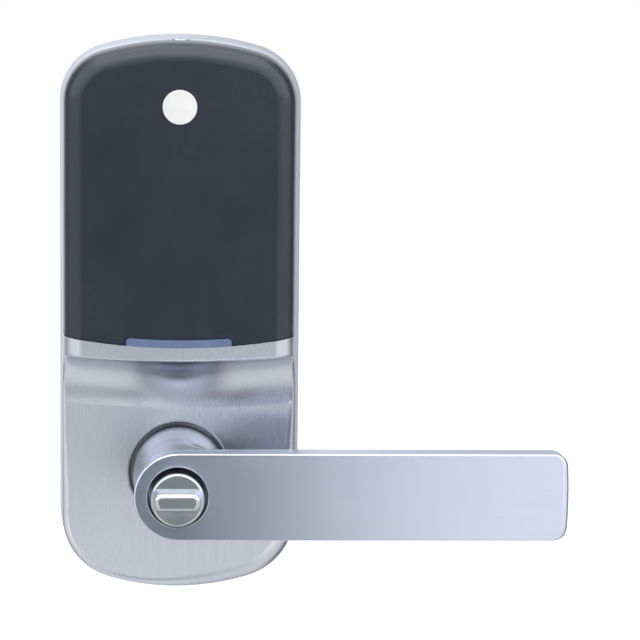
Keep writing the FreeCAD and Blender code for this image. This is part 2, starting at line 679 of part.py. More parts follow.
def lever_set_screw():
    screw = post(0, SET_SCREW_DEPTH, SET_SCREW_RADIUS, -12.4, -SPINDLE_SIZE / 2 - SLIP_FIT)
    socket = Part.Face(Part.makePolygon([
        at(1.1 * math.cos(math.radians(60 * n)), SET_SCREW_DEPTH + 1.1 * math.sin(math.radians(60 * n)), -13)
        for n in range(7)])).extrude(FreeCAD.Vector(0, 0, 2.6))
    return screw.cut(socket)


def lever_spindle():
    bar = square_bar(SPINDLE_SIZE, -SPINDLE_REACH, SPINDLE_TOP)
    far = [e for e in bar.Edges if all(abs(v.Point.y - SPINDLE_REACH) < 1e-6 for v in e.Vertexes)]
    bar = bar.makeChamfer(1.0, far)
    return bar.cut(rod(0, 0, SPINDLE_BORE, -SPINDLE_REACH - 1, SPINDLE_TOP + 1))


# ---- turn button -----------------------------------------------------------------------------------------
SHAFT_SEAT = 4.0             # length of shaft held in the button
TURN_CLIP = 0.8


def rib_outline(size, depth):
    """Rounded oblong across the button's face."""
    width, height = size
    corner = min(RIB_CORNER, 0.49 * height)
    x, z = width / 2 - corner, height / 2 - corner
    lean = corner * math.sin(math.radians(45))
    edges = []
    for turn, (sx, sz) in enumerate(((1, 1), (-1, 1), (-1, -1), (1, -1))):
        side, end = at(sx * (x + corner), depth, sz * z), at(sx * x, depth, sz * (z + corner))
        middle = at(sx * (x + lean), depth, sz * (z + lean))
        first, last = (side, end) if turn % 2 == 0 else (end, side)
        edges.append(Part.Arc(first, middle, last).toShape())
        if turn % 2 == 0:
            edges.append(Part.makeLine(last, at(-sx * x, depth, sz * (z + corner))))
        else:
            edges.append(Part.makeLine(last, at(sx * (x + corner), depth, -sz * z)))
    return Part.Wire(edges)


def turn_button():
    back = BUTTON_FACE - BUTTON_LENGTH
    button = rod(0, 0, BUTTON_RADIUS, back, BUTTON_FACE)
    rims = [e for e in button.Edges if e.Closed and abs(e.CenterOfMass.y + BUTTON_FACE) < 0.01]
    button = button.makeFillet(BUTTON_EDGE, rims)
    top = BUTTON_FACE + RIB_HEIGHT
    root = block((-0.5 * RIB_FRONT[0], 0.5 * RIB_FRONT[0]), (BUTTON_FACE - 1, BUTTON_FACE + 1),
                 (-0.5 * RIB_FRONT[1], 0.5 * RIB_FRONT[1]))
    rib = Part.makeLoft([rib_outline(RIB_BASE, BUTTON_FACE), rib_outline(RIB_FRONT, top)], True, True)
    crown = [e for e in rib.Edges if all(abs(v.Point.y + top) < 1e-6 for v in e.Vertexes)]
    rib = rib.makeFillet(RIB_EDGE, crown)
    button = joined(button, root, rib)
    return button.cut(rod(0, 0, TURN_SHAFT_RADIUS + SLIP_FIT, back - 1, back + SHAFT_SEAT))


def turn_shaft():
    high = BUTTON_FACE - BUTTON_LENGTH + SHAFT_SEAT
    width, thick = TAIL_SECTION
    bar = block((-width / 2, width / 2), (-TAIL_REACH, -SPINDLE_REACH + 6), (-thick / 2, thick / 2))
    return joined(rod(0, 0, TURN_SHAFT_RADIUS, -SPINDLE_REACH + 5, high), bar)


def turn_clip():
    middle = (SPINDLE_TOP + TURN_BEARING_BACK) / 2
    clip = ring(0, 0, 4.4, TURN_SHAFT_RADIUS + 0.02, middle - TURN_CLIP / 2, middle + TURN_CLIP / 2)
    return clip.cut(block((-1.6, 1.6), (middle - 2, middle + 2), (-6, 0)))


# ---- battery compartment ---------------------------------------------------------------------------------
TRAY_FOOT_Z = COVER_FOOT_Z + TRAY_FOOT
CELL_SPACE_Z = TRAY_FOOT_Z + TRAY_FLOOR
CELL_SPACE = CELL_LENGTH + CONTACT_SPRING_LENGTH + 2 * CONTACT_PLATE
TRAY_TOP_Z = CELL_SPACE_Z + CELL_SPACE + TRAY_FLOOR
CELL_DEPTH = FLOOR_DEPTH + TRAY_FLOOR + CLEAR + CELL_RADIUS
CRADLE_DEPTH = 20.5
LOW_PLATE_Z = CELL_SPACE_Z + CONTACT_PLATE
HIGH_PLATE_Z = CELL_SPACE_Z + CELL_SPACE - CONTACT_PLATE
TAG_DEPTH = 21.5             # solder tags of the two end contacts
TAG_DROP = 1.8
TAG_WIDTH = 2.6


def cell_x(number):
    return (number - (CELL_COUNT - 1) / 2) * CELL_PITCH


def tray_half_width():
    return cell_x(CELL_COUNT - 1) + CELL_RADIUS + CLEAR + TRAY_WALL


def battery_tray():
    half = tray_half_width()
    inner = half - TRAY_WALL
    floor_front = FLOOR_DEPTH + TRAY_FLOOR
    tray = soft_block((-half, half), (FLOOR_DEPTH, TRAY_SIDE_DEPTH), (TRAY_FOOT_Z, TRAY_TOP_Z), 1.0)
    tray = tray.cut(block((-inner, inner), (floor_front, TRAY_SIDE_DEPTH + 1),
                          (CELL_SPACE_Z, CELL_SPACE_Z + CELL_SPACE)))
    cradle = block((-inner, inner), (floor_front, CRADLE_DEPTH),
                   (LOW_PLATE_Z + CELL_NUB + 1, HIGH_PLATE_Z - CELL_NUB - 1))
    for number in range(CELL_COUNT):
        groove = post(cell_x(number), CELL_DEPTH, CELL_RADIUS + CLEAR, TRAY_FOOT_Z, TRAY_TOP_Z)
        cradle = cradle.cut(groove)
    tray = tray.fuse(cradle)
    for x, z in tray_screw_places():
        tray = tray.cut(rod(x, z, PILOT + CLEAR, 0, FLOOR_DEPTH + MARGIN))
        tray = tray.cut(rod(x, z, 2.2 + CLEAR, floor_front, FLOOR_DEPTH + MARGIN))
    for x in (cell_x(0), cell_x(CELL_COUNT - 1)):
        reach = TAG_WIDTH / 2 + CLEAR
        tray = tray.cut(block((x - reach, x + reach), (TAG_DEPTH - CLEAR, TAG_DEPTH + 1.0 + CLEAR),
                              (TRAY_FOOT_Z - 1, CELL_SPACE_Z + 1)))
    return tray.removeSplitter()


def tray_screws():
    seat = FLOOR_DEPTH + TRAY_FLOOR
    return Part.makeCompound([
        pan_screw(x, z, seat, 2.2, 1.4, PILOT - 0.05, 4.4, False) for x, z in tray_screw_places()])


def cell_is_upright(number):
    return number % 2 == 0


def battery(number):
    """Round cell; every second one stands on its head."""
    x = cell_x(number)
    low = LOW_PLATE_Z
    high = HIGH_PLATE_Z
    if cell_is_upright(number):
        can = post(x, CELL_DEPTH, CELL_RADIUS, high - CELL_LENGTH, high - CELL_NUB)
        nub = post(x, CELL_DEPTH, CELL_NUB_RADIUS, high - CELL_NUB - 1, high)
    else:
        can = post(x, CELL_DEPTH, CELL_RADIUS, low + CELL_NUB, low + CELL_LENGTH)
        nub = post(x, CELL_DEPTH, CELL_NUB_RADIUS, low, low + CELL_NUB + 1)
    can = can.makeFillet(0.6, [e for e in can.Edges if e.Closed])
    return joined(can, nub)


def battery_springs():
    wire = 0.7
    pitch = 1.15
    height = CONTACT_SPRING_LENGTH - wire - 0.1
    solids = []
    for number in range(CELL_COUNT):
        spring = coil(3.6, wire, pitch, height)
        base = LOW_PLATE_Z if cell_is_upright(number) else LOW_PLATE_Z + CELL_LENGTH
        spring.translate(at(cell_x(number), CELL_DEPTH, base + wire / 2 + 0.05))
        solids.append(spring)
    return Part.makeCompound(solids)


def contact_plates():
    """Sprung-contact strips: two end tags and a bridge below, two bridges above."""
    reach = 5.5
    low_depth, high_depth = TAG_DEPTH, CELL_DEPTH + 4
    solids = []
    groups = [(0, 0, False), (1, 2, False), (3, 3, False), (0, 1, True), (2, 3, True)]
    for first, last, on_top in groups:
        x_span = (cell_x(first) - reach, cell_x(last) + reach)
        z_low = HIGH_PLATE_Z if on_top else CELL_SPACE_Z
        strip = block(x_span, (low_depth, high_depth), (z_low, z_low + CONTACT_PLATE))
        if first == last:
            x = cell_x(first)
            tag = block((x - TAG_WIDTH / 2, x + TAG_WIDTH / 2), (TAG_DEPTH, TAG_DEPTH + CONTACT_PLATE),
                        (TRAY_FOOT_Z - TAG_DROP, CELL_SPACE_Z + 0.2))
            strip = joined(strip, tag)
        solids.append(strip)
    return Part.makeCompound(solids)


# ---- electronics -----------------------------------------------------------------------------------------
SERVICE_Z = COVER_FOOT_Z + 9.1    # middle of what shows in the service window
SOCKET_X = -13.5
SOCKET_TOP = 13.1
PLUG_TOP = 16.4
RESET_X = -3.0
RESET_TOP = 12.0
MODULE_SPANS = ((4.0, 19.2), (SERVICE_Z - 4.9, SERVICE_Z + 5.0))
LED_Z = 1.35                      # above the cover's foot
LED_HEIGHT = 1.6


def circuit_board():
    low, high = COVER_FOOT_Z + BOARD_FOOT, COVER_FOOT_Z + BOARD_TOP
    board = soft_block((-BOARD_HALF_WIDTH, BOARD_HALF_WIDTH), (BOARD_BACK, BOARD_FRONT), (low, high), 3)
    for x, z in body_screw_places():
        board = board.cut(rod(x, z, STANDOFF_RADIUS + 0.7, 0, MARGIN))
    for x, z in board_screw_places():
        board = board.cut(rod(x, z, PILOT + CLEAR, 0, MARGIN))
    return board


def board_screws():
    return Part.makeCompound([
        pan_screw(x, z, BOARD_BACK, 2.3, 1.5, PILOT - 0.05, 5.6, True) for x, z in board_screw_places()])


def on_board(x, z, width, height, thickness):
    spans = around(x, COVER_FOOT_Z + z, width, height)
    return block(spans[0], (BOARD_FRONT, BOARD_FRONT + thickness), spans[1])


def board_chips():
    sizes = [(-13, 42, 9, 9, 1.2), (6, 48, 5, 6, 1.5), (15, 34, 6.5, 5, 1.6), (-19, 58, 6, 5, 1.5),
             (-4, 26, 4, 5, 1.2), (20, 60, 3.2, 2.6, 1.0), (-22, 34, 3.2, 2.6, 1.0), (8, 24, 3.2, 1.6, 0.9)]
    return Part.makeCompound([on_board(*size) for size in sizes])


def capacitors():
    solids = []
    for x, z, radius in ((16, 46, 3.1), (10, 62, 2.5), (-8, 56, 2.5)):
        can = rod(x, COVER_FOOT_Z + z, radius, BOARD_FRONT + 0.6, BOARD_FRONT + 4.8)
        can = can.makeFillet(0.4, [e for e in can.Edges if e.Closed])
        side = 2 * radius + 0.4
        solids.append(joined(can, on_board(x, z, side, side, 0.9)))
    return Part.makeCompound(solids)


def buzzer():
    x, z = -16, COVER_FOOT_Z + 25
    case = rod(x, z, 5.2, BOARD_FRONT, BOARD_FRONT + 4)
    return case.cut(rod(x, z, 1.0, BOARD_FRONT + 3, BOARD_FRONT + 5))


def harness_socket():
    """Socket for the cable from the outdoor unit; its mouth looks down."""
    spans = around(14.5, COVER_FOOT_Z - 2.6, 13, 5.4)
    top = BOARD_FRONT + 5
    case = block(spans[0], (BOARD_FRONT, top), spans[1])
    mouth = block((spans[0][0] + 1, spans[0][1] - 1), (BOARD_FRONT + 0.9, top - 0.9),
                  (spans[1][0] - 1, spans[1][1] - 1.2))
    return case.cut(mouth)


def socket_pins():
    middle = BOARD_FRONT + 2.5
    solids = []
    for n in range(5):
        x = 14.5 + (n - 2) * 2.0
        solids.append(block((x - 0.25, x + 0.25), (middle - 0.25, middle + 0.25),
                            (COVER_FOOT_Z - 5.0, COVER_FOOT_Z - 1.1)))
    return Part.makeCompound(solids)


def battery_socket():
    spans = around(SOCKET_X, SERVICE_Z, 8.4, 5.6)
    case = block(spans[0], (BOARD_FRONT, SOCKET_TOP), spans[1])
    inner = around(SOCKET_X, SERVICE_Z, 6.8, 4.0)
    return case.cut(block(inner[0], (BOARD_FRONT + 1, SOCKET_TOP + 1), inner[1]))


def battery_plug():
    stem = around(SOCKET_X, SERVICE_Z, 6.6, 3.8)
    collar = around(SOCKET_X, SERVICE_Z, 7.8, 5.0)
    return joined(block(stem[0], (BOARD_FRONT + 1.2, SOCKET_TOP + 1), stem[1]),
                  block(collar[0], (SOCKET_TOP + 0.1, PLUG_TOP), collar[1]))


LEAD_DIAMETER = 1.3
LEAD_SPLIT = 1.7             # half the distance between the two leads in the plug


def battery_lead(side):
    """Lead from an end contact's tag to the plug: -1 is the red one, on the left."""
    tag = at(side * abs(cell_x(0)), TAG_DEPTH + CONTACT_PLATE + LEAD_DIAMETER / 2 + 0.02,
             TRAY_FOOT_Z - 0.6)
    end_x = SOCKET_X + side * LEAD_SPLIT
    cross_z = SERVICE_Z + 1.5
    if side < 0:
        bends = [at(tag.x, -tag.y, cross_z + 1.5), at(tag.x + 3.6, 21.6, cross_z - 1.6),
                 at(end_x, 21.0, SERVICE_Z)]
    else:
        bends = [at(tag.x, -tag.y, cross_z + 0.6), at(tag.x - 5, 22.4, cross_z - 1.8),
                 at(9.0, 21.6, cross_z - 0.6), at(-4.0, 21.8, cross_z - 1.4),
                 at(end_x, 21.2, SERVICE_Z)]
    return lead([tag] + bends + [at(end_x, PLUG_TOP, SERVICE_Z)], LEAD_DIAMETER)


def module_header():
    (x0, x1), (z0, z1) = MODULE_SPANS
    return block((x0 + 2, x1 - 2), (BOARD_FRONT, 11.4), (z0 + 0.8, z0 + 3.4))


def radio_module():
    """Plug-in network module with a finger groove across its end."""
    (x0, x1), (z0, z1) = MODULE_SPANS
    case = soft_block((x0, x1), (11.4, 18.0), (z0, z1), 1.2)
    for n in range(3):
        z = z1 - 2 - n * 1.5
        case = case.cut(block((x0 + 3, x1 - 3), (17.5, 19), (z - 0.35, z + 0.35)))
    return case


def reset_switch():
    spans = around(RESET_X, SERVICE_Z, 6, 6)
    case = soft_block(spans[0], (BOARD_FRONT, RESET_TOP), spans[1], 0.6)
    return case.cut(rod(RESET_X, SERVICE_Z, 1.7 + RUNNING_FIT, RESET_TOP - 1.5, RESET_TOP + 1))


def reset_button():
    low = RESET_TOP - 1.5 + PRESS_TRAVEL + 0.2
    button = rod(RESET_X, SERVICE_Z, 1.7, low, low + 3.4)
    front = [e for e in button.Edges if e.Closed and abs(e.CenterOfMass.y + low + 3.4) < 0.01]
    return button.makeFillet(0.3, front)


def light_stem_spans(grow=0.0):
    low = COVER_FOOT_Z + 0.15
    return (-4.0 - grow, 4.0 + grow), (low - grow, low + LIGHT_HEIGHT - 0.35 + grow)


def status_led():
    return on_board(0, LED_Z, 3.2, LED_HEIGHT, 1.6)


def status_light_window():
    """Light bar set in the cover's foot, with a stem that reaches back to the lamp."""
    half = LIGHT_WIDTH / 2
    back = COVER_DEPTH - 6
    bar = block((-half, half), (back, COVER_DEPTH), (COVER_FOOT_Z - 1, COVER_FOOT_Z + 6))
    bar = bar.common(foot_disc(back - 1, COVER_DEPTH + 1))
    bar = bar.cut(foot_disc(back - 1, COVER_DEPTH + 1, LIGHT_HEIGHT))
    shoulders = [e for e in bar.Edges if abs(e.tangentAt(e.FirstParameter).y) > 0.99
                 and e.CenterOfMass.z > COVER_FOOT_Z + LIGHT_HEIGHT]
    bar = bar.makeFillet(LIGHT_CORNER, shoulders)
    x_span, z_span = light_stem_spans()
    stem = block(x_span, (BOARD_FRONT + 1.6 + CLEAR, back + 1), z_span)
    return joined(bar, stem)


# ---- battery cover ---------------------------------------------------------------------------------------
BADGE_SEAT = COVER_DEPTH - 0.6    # floor of the badge's recess


def light_notch():
    """Gap in the cover's foot for the light bar, open from back to front so the cover can come off."""
    half = LIGHT_WIDTH / 2 + LIGHT_GAP
    back = FLOOR_DEPTH
    notch = block((-half, half), (back, COVER_DEPTH + 1), (COVER_FOOT_Z - 3, COVER_FOOT_Z + 7))
    notch = notch.cut(foot_disc(back - 1, COVER_DEPTH + 2, LIGHT_HEIGHT + LIGHT_GAP))
    shoulders = [e for e in notch.Edges if abs(e.tangentAt(e.FirstParameter).y) > 0.99
                 and e.CenterOfMass.z > COVER_FOOT_Z + LIGHT_HEIGHT]
    return notch.makeFillet(LIGHT_CORNER + LIGHT_GAP, shoulders)


def battery_cover():
    base = RIM_DEPTH + COVER_GAP
    skin = OUTER.common(foot_disc(base, COVER_DEPTH + 1, COVER_GAP))
    hollow = form(RIM_DEPTH - 4, COVER_DEPTH - COVER_WALL, COVER_WALL)
    hollow = hollow.makeFillet(COVER_EDGE - COVER_WALL, front_edges(hollow, COVER_DEPTH - COVER_WALL))
    hollow = hollow.common(foot_disc(RIM_DEPTH - 5, COVER_DEPTH, COVER_WALL))
    cover = skin.cut(hollow)

    lip_inset = BODY_WALL + CLEAR
    lip_top = base + 1.8
    lip = form(RIM_DEPTH - LIP_REACH, lip_top, lip_inset)
    flange = form(base, lip_top, COVER_WALL - 0.5)
    lip = lip.fuse(flange).cut(form(RIM_DEPTH - LIP_REACH - 1, lip_top + 1, lip_inset + LIP_WALL))
    lip = lip.common(foot_disc(0, COVER_DEPTH, COVER_WALL - 0.5))

    tab_top = roof_z(RIM_DEPTH) - BODY_WALL - 0.4
    tab = block((-4.5, 4.5), (FLOOR_DEPTH + 0.4, lip_top), (tab_top - 3.2, tab_top))
    cover = cover.fuse([lip, tab])
    cover = cover.cut(post(0, COVER_SCREW_DEPTH, COVER_SCREW_SHANK + RUNNING_FIT, BODY_TOP - 30, BODY_TOP))
    cover = cover.cut(light_notch())
    side = tray_half_width() + CLEAR
    cover = cover.cut(block((-side, side), (FLOOR_DEPTH, TRAY_SIDE_DEPTH + CLEAR),
                            (TRAY_FOOT_Z - CLEAR, TRAY_TOP_Z + CLEAR)))
    cover = cover.cut(rod(0, BADGE_Z, BADGE_RADIUS + SLIP_FIT, BADGE_SEAT, COVER_DEPTH + 1))
    return cover.removeSplitter()


def cover_badge():
    disc = rod(0, BADGE_Z, BADGE_RADIUS, BADGE_SEAT, COVER_DEPTH + 0.12)
    front = [e for e in disc.Edges if e.Closed and e.CenterOfMass.y < -COVER_DEPTH]
    return disc.makeFillet(0.1, front)


def battery_hold_pad():
    """Foam strip under the cover that keeps the cells in their cradles."""
    low = CELL_DEPTH + CELL_RADIUS + CLEAR
    half = cell_x(CELL_COUNT - 1) + 4
    middle = (CELL_SPACE_Z + CELL_SPACE / 2)
    return soft_block((-half, half), (low, COVER_DEPTH - COVER_WALL), (middle - 5, middle + 5), 1.5)


def cover_screw():
    seat = screw_pocket_z() + 0.1
    head_height = COVER_SCREW_POCKET - 0.15
    head = post(0, COVER_SCREW_DEPTH, COVER_SCREW_HEAD, seat, seat + head_height)
    crown = [e for e in head.Edges if e.Closed and abs(e.CenterOfMass.z - seat - head_height) < 0.01]
    head = head.makeFillet(0.25, crown)
    reach, thin = 1.6, 0.35
    depth = COVER_SCREW_DEPTH
    slot_z = (seat + 0.3, seat + 3)
    head = head.cut(block((-reach, reach), (depth - thin, depth + thin), slot_z))
    head = head.cut(block((-thin, thin), (depth - reach, depth + reach), slot_z))
    shank = post(0, depth, COVER_SCREW_SHANK, seat - 6.2, seat)
    return joined(head, shank)


# ---- all nodes -------------------------------------------------------------------------------------------
NODES = {
    "escutcheon_body": escutcheon_body, "door_gasket": door_gasket, "mounting_plate": mounting_plate,
    "body_screws": body_screws, "lever_bushing": lever_bushing, "spring_cage": spring_cage,
    "cage_screws": cage_screws, "return_spring": return_spring, "battery_tray": battery_tray,
    "tray_screws": tray_screws, "battery_springs": battery_springs, "contact_plates": contact_plates,
    "circuit_board": circuit_board, "board_screws": board_screws, "board_chips": board_chips,
    "capacitors": capacitors, "buzzer": buzzer, "harness_socket": harness_socket,
    "socket_pins": socket_pins, "battery_socket": battery_socket, "battery_plug": battery_plug,
    "module_header": module_header, "radio_module": radio_module, "reset_switch": reset_switch,
    "reset_button": reset_button, "status_led": status_led, "status_light_window": status_light_window,
    "battery_cover": battery_cover, "cover_badge": cover_badge, "battery_hold_pad": battery_hold_pad,
    "cover_screw": cover_screw, "lever_handle": lever_handle, "lever_spindle": lever_spindle,
    "lever_set_screw": lever_set_screw, "spring_cam": spring_cam, "turn_button": turn_button,
    "turn_shaft": turn_shaft, "turn_clip": turn_clip,
    "battery_lead_red": lambda: battery_lead(-1), "battery_lead_black": lambda: battery_lead(1),
}
for cell in range(CELL_COUNT):
    NODES["battery_%d" % (cell + 1)] = lambda number=cell: battery(number)

os.makedirs("parts", exist_ok=True)
for name, make in NODES.items():
    shape = make()
    shape.exportStep("parts/%s.step" % name)
    print("%-20s solids %d valid %s volume %.1f" % (name, len(shape.Solids), shape.isValid(), shape.Volume))
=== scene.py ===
# %% [markdown]
# # The indoor unit of an electronic lever lock
#
# This is the half of a lock that sits on the inside of a door: a satin metal escutcheon, a dark
# cover over the batteries, a lever handle, and a small turn button in the lever's hub. The pieces
# come from a CAD model at their real size, so nothing here moves or resizes them. What is left for
# this file is how they look: the finish of each surface, two soft pieces that a hard solid shows
# poorly, the light and the camera.
#
# Everything is in metres. The door's face is the plane y = 0, the room is on the -Y side, +Z is up,
# and the lever points along +X from the origin.

# %% Load the CAD model
import math
import bmesh
import bpy
from mathutils import Matrix, Vector


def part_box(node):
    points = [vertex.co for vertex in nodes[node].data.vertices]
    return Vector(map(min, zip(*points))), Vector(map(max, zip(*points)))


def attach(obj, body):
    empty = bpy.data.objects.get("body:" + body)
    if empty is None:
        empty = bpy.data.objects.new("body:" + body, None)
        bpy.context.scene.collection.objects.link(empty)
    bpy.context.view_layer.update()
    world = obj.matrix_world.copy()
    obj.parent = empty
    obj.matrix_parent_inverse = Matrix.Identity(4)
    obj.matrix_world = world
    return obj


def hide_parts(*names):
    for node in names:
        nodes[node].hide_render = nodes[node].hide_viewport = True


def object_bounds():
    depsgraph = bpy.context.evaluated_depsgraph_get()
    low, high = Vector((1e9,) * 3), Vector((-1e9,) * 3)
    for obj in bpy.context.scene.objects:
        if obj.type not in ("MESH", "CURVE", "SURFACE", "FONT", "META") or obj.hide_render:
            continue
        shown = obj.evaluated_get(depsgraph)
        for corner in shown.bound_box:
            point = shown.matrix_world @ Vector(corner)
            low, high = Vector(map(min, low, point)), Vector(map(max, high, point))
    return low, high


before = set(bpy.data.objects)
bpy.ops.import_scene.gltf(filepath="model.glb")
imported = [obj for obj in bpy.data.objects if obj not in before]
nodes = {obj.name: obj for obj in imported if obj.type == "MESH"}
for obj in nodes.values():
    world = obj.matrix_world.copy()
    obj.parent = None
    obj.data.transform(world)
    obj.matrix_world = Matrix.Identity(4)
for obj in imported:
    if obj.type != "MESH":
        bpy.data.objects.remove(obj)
cad_low, cad_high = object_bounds()
print("pieces:", len(nodes), "size in mm:", [round(s * 1000, 1) for s in cad_high - cad_low])

# %% [markdown]
# ## The camera
#
# A lock is shown nearly square on, from a little above, through a long lens, so the escutcheon's
# sides stay nearly parallel. Three turns aim such a camera: one to the side, a dip towards the lever
# and a very small roll. A target constraint would be shorter to write, but plain turns also say how
# the camera is rolled.

# %% Place the camera
MM = 0.001
SENSOR_WIDTH = 36.0                  # millimetres, as Blender counts a sensor
LENS = 133.34
CAMERA_PLACE = Vector((4.5, -739.2, 124.7)) * MM
CAMERA_TURN = math.radians(3.056)    # towards the lever's tip
CAMERA_DIP = math.radians(6.162)
CAMERA_ROLL = math.radians(0.611)


def place_camera():
    lens = bpy.data.cameras.new("camera")
    lens.sensor_width = SENSOR_WIDTH
    lens.lens = LENS
    lens.clip_start, lens.clip_end = 0.01, 20.0
    camera = bpy.data.objects.new("camera", lens)
    turn = Matrix.Rotation(-CAMERA_TURN, 4, "Z")
    dip = Matrix.Rotation(math.pi / 2 - CAMERA_DIP, 4, "X")
    roll = Matrix.Rotation(CAMERA_ROLL, 4, "Z")
    camera.matrix_world = Matrix.Translation(CAMERA_PLACE) @ turn @ dip @ roll
    bpy.context.scene.collection.objects.link(camera)
    bpy.context.scene.camera = camera
    return camera


camera = place_camera()
bpy.context.scene.view_settings.view_transform = "Standard"
print("camera at", [round(c, 4) for c in camera.matrix_world.translation])

# %% [markdown]
# ## Shader maths as plain expressions
#
# A procedural finish is mostly arithmetic on noise: "a little rougher where the streak is dark".
# Blender does it with one Math node per operation, which reads badly as code. The class below wraps a
# socket, and Python's operators on it add the Math nodes, so a finish can be written as a formula.
# The second class is one material: it adds any other node in one call, with the node's settings
# first and its sockets' values or links after them.

# %% A socket that takes Python's operators
class Signal:
    """A number that varies over a surface."""

    def __init__(self, finish, socket):
        self.finish, self.socket = finish, socket

    def math(self, operation, *others):
        settings = {"operation": operation}
        inputs = dict(enumerate((self,) + others))
        return self.finish.add("Math", settings, inputs)

    def __add__(self, other):
        return self.math("ADD", other)

    def __radd__(self, other):
        return self.math("ADD", other)

    def __sub__(self, other):
        return self.math("SUBTRACT", other)

    def __rsub__(self, other):
        return self.finish.add("Math", {"operation": "SUBTRACT"}, {0: other, 1: self})

    def __mul__(self, other):
        return self.math("MULTIPLY", other)

    def __rmul__(self, other):
        return self.math("MULTIPLY", other)

    def __abs__(self):
        return self.math("ABSOLUTE")

    def ramp(self, low, high):
        """0 below low, 1 above high and smooth between them; high may be under low."""
        settings = {"interpolation_type": "SMOOTHSTEP"}
        return self.finish.add("MapRange", settings, {0: self, 1: low, 2: high, 3: 0.0, 4: 1.0})


# %% A material that adds nodes in one call
class Finish:
    """One material and its node tree."""

    def __init__(self, name, colour):
        self.material = bpy.data.materials.new(name)
        self.material.use_nodes = True
        self.tree = self.material.node_tree
        self.shader = self.tree.nodes["Principled BSDF"]
        self.set(**{"Base Color": (*colour, 1.0)})

    def set(self, **sockets):
        for name, value in sockets.items():
            self.feed(self.shader.inputs[name], value)
        return self

    def feed(self, socket, value):
        if isinstance(value, Signal):
            self.tree.links.new(value.socket, socket)
        else:
            socket.default_value = value

    def add(self, kind, settings=None, inputs=None, output=0):
        node = self.tree.nodes.new("ShaderNode" + kind)
        for name, value in (settings or {}).items():
            setattr(node, name, value)
        for name, value in (inputs or {}).items():
            self.feed(node.inputs[name], value)
        return Signal(self, node.outputs[output])

    def where(self):
        """The frame's coordinates of each point at rest, in metres."""
        return self.add("TexCoord", output="Object")

    def axis(self, letter):
        return self.add("SeparateXYZ", None, {0: self.where()}, letter)

    def stretched(self, scale):
        return self.add("Mapping", None, {"Vector": self.where(), "Scale": scale})

    def noise(self, scale, detail=3.0, roughness=0.55):
        """Noise from 0 to 1 with this many features a metre along X, Y and Z."""
        inputs = {"Vector": self.stretched(scale), "Scale": 1.0,
                  "Detail": detail, "Roughness": roughness}
        return self.add("TexNoise", None, inputs)

    def mixed(self, share, first, second):
        """A colour between two colours, by a share from 0 to 1."""
        first, second = (c if isinstance(c, Signal) else (*c, 1.0) for c in (first, second))
        inputs = {0: share, 6: first, 7: second}
        return self.add("Mix", {"data_type": "RGBA"}, inputs, 2)

    def bump(self, height, distance, strength):
        """The Normal of a surface that height raises by up to distance, in metres."""
        inputs = {"Height": height, "Distance": distance, "Strength": strength}
        return self.add("Bump", None, inputs)


# %% [markdown]
# Two small helpers are used by every finish below. One makes a colour a little lighter or darker, and
# the other puts a finish on CAD nodes, whose meshes stay as they came.

# %% Shades of a colour, and a finish on its nodes
def shade(colour, factor):
    return tuple(min(channel * factor, 1.0) for channel in colour)


def apply(finish, *names):
    for name in names:
        nodes[name].data.materials.clear()
        nodes[name].data.materials.append(finish.material)
    print(finish.material.name, "on", ", ".join(names))


# %% [markdown]
# ## The studio
#
# A satin metal has hardly any colour of its own: it shows the room. In a studio the room is white
# all round, with the camera and whoever stands behind it as the one dark thing in front. Lamps alone
# would leave the metal black between them, so the world itself is the room. Surfaces that scatter
# light see it as even and white, so that colours come out about as they are written.
#
# Metal sees more of it. A dark column stands straight in front, for the camera's stand and its
# operator, and gives the lever its slow gradient from hub to tip. A wider dark patch at the cover's
# height is the rest of that side of the studio. The ceiling in front is brighter, which draws the
# lit band along the cover's top edge, and the wall behind is a little darker and cooler, which
# shades the escutcheon's sides.
#
# The room is laid out by direction: x is to the right, y is behind the lock and z is up, each from
# -1 to 1. A pair is where an edge starts and where it ends, and the edge is soft between them.

# %% Measure out the room
ROOM_GLOSS = 1.04            # what metal sees around it
ROOM_DIFFUSE = 0.80          # what lights matt surfaces
IN_FRONT = (0.0, -0.2)       # y
BEHIND = (0.0, 0.4)          # y

COLUMN_MIDDLE = -0.03        # x
COLUMN_SIDE = (0.115, 0.035)
COLUMN_FOOT = (-0.85, -0.6)
COLUMN_TOP = (0.5, 0.32)
COLUMN_DEPTH = 0.97          # share of the room's light that the column takes away
PATCH_SIDE = (0.70, 0.14)
PATCH_FOOT = (-0.122, -0.09)
PATCH_TOP = (0.06, 0.0)
PATCH_DEPTH = 0.78
DARK_TINT = (0.72, 0.95, 1.1)
COOL_TINT = (0.98, 1.01, 1.10)

CEILING = 1.15
CEILING_EDGE = (0.02, 0.10)
CEILING_END = (0.98, 0.75)   # straight overhead it is weaker again
CEILING_END_SHARE = 0.3
BACK_CEILING = (0.5, 0.85)
BACK_CEILING_SHARE = 0.5

# What is added to the room's level or taken from it, and where.
BACK_WALL = -0.2
BACK_LEFT, BACK_LEFT_EDGE = 0.14, (-0.02, -0.12)
BACK_RIGHT, BACK_RIGHT_EDGE = -0.12, (0.02, 0.12)
RIGHT_WALL, RIGHT_WALL_EDGE, RIGHT_WALL_RISE = 0.3, (0.35, 0.6), (-0.2, 0.2)
CORNERS, CORNER_DEPTH, CORNER_EDGE = -0.45, (-0.1, 0.1), (0.35, 0.6)
TABLE_EDGE, TABLE_LOW, TABLE_HIGH = -0.18, (-0.2, -0.165), (-0.13, -0.15)
NEAR_MIDDLE = (0.55, 0.4)
TABLE_GLOW, GLOW_TOP, GLOW_FOOT = 0.5, (-0.17, -0.21), (-0.5, -0.3)
STRIP_GLOW, STRIP_SIDE, STRIP_LOW, STRIP_HIGH = 0.75, (0.12, 0.25), (-0.165, -0.14), (-0.04, -0.08)
UNDERSIDE, UNDERSIDE_EDGE = -0.1, (-0.3, -0.5)


